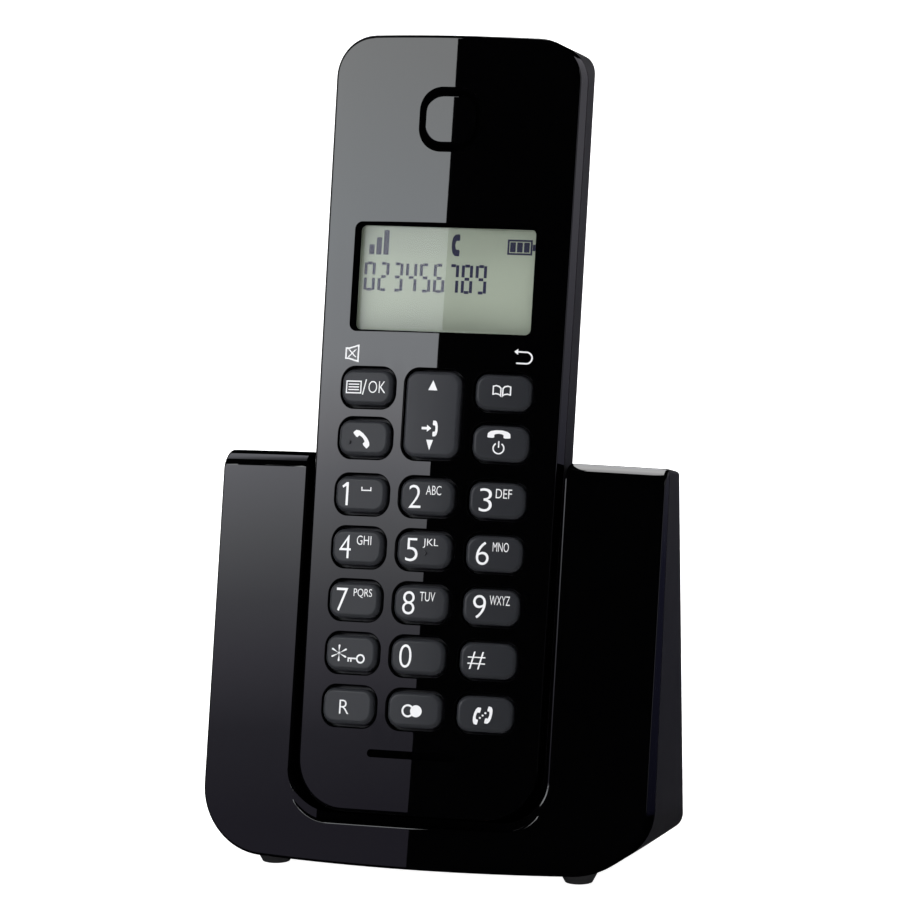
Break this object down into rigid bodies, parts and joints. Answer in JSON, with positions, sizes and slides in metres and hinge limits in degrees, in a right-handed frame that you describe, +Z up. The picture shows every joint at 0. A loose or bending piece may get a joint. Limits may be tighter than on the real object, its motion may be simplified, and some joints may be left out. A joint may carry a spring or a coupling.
{
  "type": "cordless phone with base",
  "caption": "Cordless telephone handset with a full keypad, small display and rocker key, standing upright in a charging base with a leaning glossy front.",
  "frame": {"origin": "centre of the whole object's outline at the underside of the feet", "axes": "+Z up, -Y the front that faces the user, +X to the right as seen from the front; the handset and the base's front lean back about 12 degrees"},
  "size_m": [0.0935, 0.0545, 0.1675],
  "materials": {
    "gloss_case": "glossy black ABS, polished, with a fine orange-peel",
    "satin_case": "satin black ABS with a light moulded grain",
    "key_plastic": "satin dark grey key caps with white printed marks",
    "nav_plastic": "semi-gloss dark rocker cap with white printed marks",
    "cap_gloss": "high-gloss black earpiece insert",
    "window_clear": "clear polished acrylic window",
    "lcd_glass": "grey-green reflective liquid crystal panel",
    "lcd_carrier": "black panel carrier",
    "keypad_rubber": "grey silicone keypad sheet",
    "dome_steel": "thin stainless snap domes",
    "circuit_board": "green fibreglass board with solder mask",
    "shield_tin": "tinned steel screening can",
    "speaker_dark": "dark speaker frame and cone",
    "mic_metal": "aluminium microphone capsule",
    "boot_rubber": "black rubber boot",
    "cell_wrap": "plain wrapped rechargeable cells",
    "spring_plate": "nickel-plated battery contacts",
    "contact_gold": "gold-plated charging contacts",
    "screw_steel": "blackened steel screws",
    "socket_black": "black socket mouldings",
    "foot_rubber": "black rubber feet",
    "button_plastic": "satin dark button cap"
  },
  "bodies": {
    "base": {"base_front_cover": "gloss_case", "base_rear_cover": "satin_case", "base_board": "circuit_board", "line_socket": "socket_black", "power_socket": "socket_black", "base_feet": "foot_rubber", "base_screws": "screw_steel", "locator_switch": "socket_black"},
    "handset": {"handset_front_cover": "gloss_case", "handset_rear_cover": "satin_case", "earpiece_cap": "cap_gloss", "earpiece_speaker": "speaker_dark", "display_window": "window_clear", "lcd_panel": "lcd_glass", "lcd_frame": "lcd_carrier", "keypad_mat": "keypad_rubber", "key_domes": "dome_steel", "handset_board": "circuit_board", "rf_shield": "shield_tin", "ringer_speaker": "speaker_dark", "microphone": "mic_metal", "mic_boot": "boot_rubber", "battery_cells": "cell_wrap", "battery_contacts": "spring_plate", "handset_charge_contacts": "contact_gold", "handset_screws": "screw_steel"},
    "battery_door": {"battery_cover": "satin_case"},
    "locator": {"locator_button": "button_plastic"},
    "contact_left": {"base_contact_left": "contact_gold"},
    "contact_right": {"base_contact_right": "contact_gold"},
    "key_recall": {"key_recall": "key_plastic"},
    "key_redial": {"key_redial": "key_plastic"},
    "key_intercom": {"key_intercom": "key_plastic"},
    "key_star": {"key_star": "key_plastic"},
    "key_0": {"key_0": "key_plastic"},
    "key_hash": {"key_hash": "key_plastic"},
    "key_7": {"key_7": "key_plastic"},
    "key_8": {"key_8": "key_plastic"},
    "key_9": {"key_9": "key_plastic"},
    "key_4": {"key_4": "key_plastic"},
    "key_5": {"key_5": "key_plastic"},
    "key_6": {"key_6": "key_plastic"},
    "key_1": {"key_1": "key_plastic"},
    "key_2": {"key_2": "key_plastic"},
    "key_3": {"key_3": "key_plastic"},
    "key_talk": {"key_talk": "key_plastic"},
    "key_off": {"key_off": "key_plastic"},
    "key_menu": {"key_menu": "key_plastic"},
    "key_phonebook": {"key_phonebook": "key_plastic"},
    "key_nav": {"key_nav": "nav_plastic"}
  },
  "joints": [
    {"name": "handset_lift", "type": "slide", "parent": "base", "child": "handset", "axis": [0, 0.2089, 0.9779], "range_m": [0, 0.09]},
    {"name": "battery_door_slide", "type": "slide", "parent": "handset", "child": "battery_door", "axis": [0, 0.2089, 0.9779], "range_m": [0, 0.146]},
    {"name": "locator_press", "type": "slide", "parent": "base", "child": "locator", "axis": [1, 0, 0], "range_m": [0, 0.0008], "stiffness_N_per_m": 700},
    {"name": "contact_left_press", "type": "slide", "parent": "base", "child": "contact_left", "axis": [0, -0.2089, -0.9779], "range_m": [0, 0.0008], "stiffness_N_per_m": 300},
    {"name": "contact_right_press", "type": "slide", "parent": "base", "child": "contact_right", "axis": [0, -0.2089, -0.9779], "range_m": [0, 0.0008], "stiffness_N_per_m": 300},
    {"name": "key_recall_press", "type": "slide", "parent": "handset", "child": "key_recall", "axis": [0, 0.9779, -0.2089], "range_m": [0, 0.0007], "stiffness_N_per_m": 700},
    {"name": "key_redial_press", "type": "slide", "parent": "handset", "child": "key_redial", "axis": [0, 0.9779, -0.2089], "range_m": [0, 0.0007], "stiffness_N_per_m": 700},
    {"name": "key_intercom_press", "type": "slide", "parent": "handset", "child": "key_intercom", "axis": [0, 0.9779, -0.2089], "range_m": [0, 0.0007], "stiffness_N_per_m": 700},
    {"name": "key_star_press", "type": "slide", "parent": "handset", "child": "key_star", "axis": [0, 0.9779, -0.2089], "range_m": [0, 0.0007], "stiffness_N_per_m": 700},
    {"name": "key_0_press", "type": "slide", "parent": "handset", "child": "key_0", "axis": [0, 0.9779, -0.2089], "range_m": [0, 0.0007], "stiffness_N_per_m": 700},
    {"name": "key_hash_press", "type": "slide", "parent": "handset", "child": "key_hash", "axis": [0, 0.9779, -0.2089], "range_m": [0, 0.0007], "stiffness_N_per_m": 700},
    {"name": "key_7_press", "type": "slide", "parent": "handset", "child": "key_7", "axis": [0, 0.9779, -0.2089], "range_m": [0, 0.0007], "stiffness_N_per_m": 700},
    {"name": "key_8_press", "type": "slide", "parent": "handset", "child": "key_8", "axis": [0, 0.9779, -0.2089], "range_m": [0, 0.0007], "stiffness_N_per_m": 700},
    {"name": "key_9_press", "type": "slide", "parent": "handset", "child": "key_9", "axis": [0, 0.9779, -0.2089], "range_m": [0, 0.0007], "stiffness_N_per_m": 700},
    {"name": "key_4_press", "type": "slide", "parent": "handset", "child": "key_4", "axis": [0, 0.9779, -0.2089], "range_m": [0, 0.0007], "stiffness_N_per_m": 700},
    {"name": "key_5_press", "type": "slide", "parent": "handset", "child": "key_5", "axis": [0, 0.9779, -0.2089], "range_m": [0, 0.0007], "stiffness_N_per_m": 700},
    {"name": "key_6_press", "type": "slide", "parent": "handset", "child": "key_6", "axis": [0, 0.9779, -0.2089], "range_m": [0, 0.0007], "stiffness_N_per_m": 700},
    {"name": "key_1_press", "type": "slide", "parent": "handset", "child": "key_1", "axis": [0, 0.9779, -0.2089], "range_m": [0, 0.0007], "stiffness_N_per_m": 700},
    {"name": "key_2_press", "type": "slide", "parent": "handset", "child": "key_2", "axis": [0, 0.9779, -0.2089], "range_m": [0, 0.0007], "stiffness_N_per_m": 700},
    {"name": "key_3_press", "type": "slide", "parent": "handset", "child": "key_3", "axis": [0, 0.9779, -0.2089], "range_m": [0, 0.0007], "stiffness_N_per_m": 700},
    {"name": "key_talk_press", "type": "slide", "parent": "handset", "child": "key_talk", "axis": [0, 0.9779, -0.2089], "range_m": [0, 0.0007], "stiffness_N_per_m": 700},
    {"name": "key_off_press", "type": "slide", "parent": "handset", "child": "key_off", "axis": [0, 0.9779, -0.2089], "range_m": [0, 0.0007], "stiffness_N_per_m": 700},
    {"name": "key_menu_press", "type": "slide", "parent": "handset", "child": "key_menu", "axis": [0, 0.9779, -0.2089], "range_m": [0, 0.0007], "stiffness_N_per_m": 700},
    {"name": "key_phonebook_press", "type": "slide", "parent": "handset", "child": "key_phonebook", "axis": [0, 0.9779, -0.2089], "range_m": [0, 0.0007], "stiffness_N_per_m": 700},
    {"name": "key_nav_rock", "type": "hinge", "parent": "handset", "child": "key_nav", "pos_m": [0, -0.00582, 0.09167], "axis": [1, 0, 0], "range_deg": [-3, 3], "stiffness_Nm_per_rad": 0.05}
  ]
}
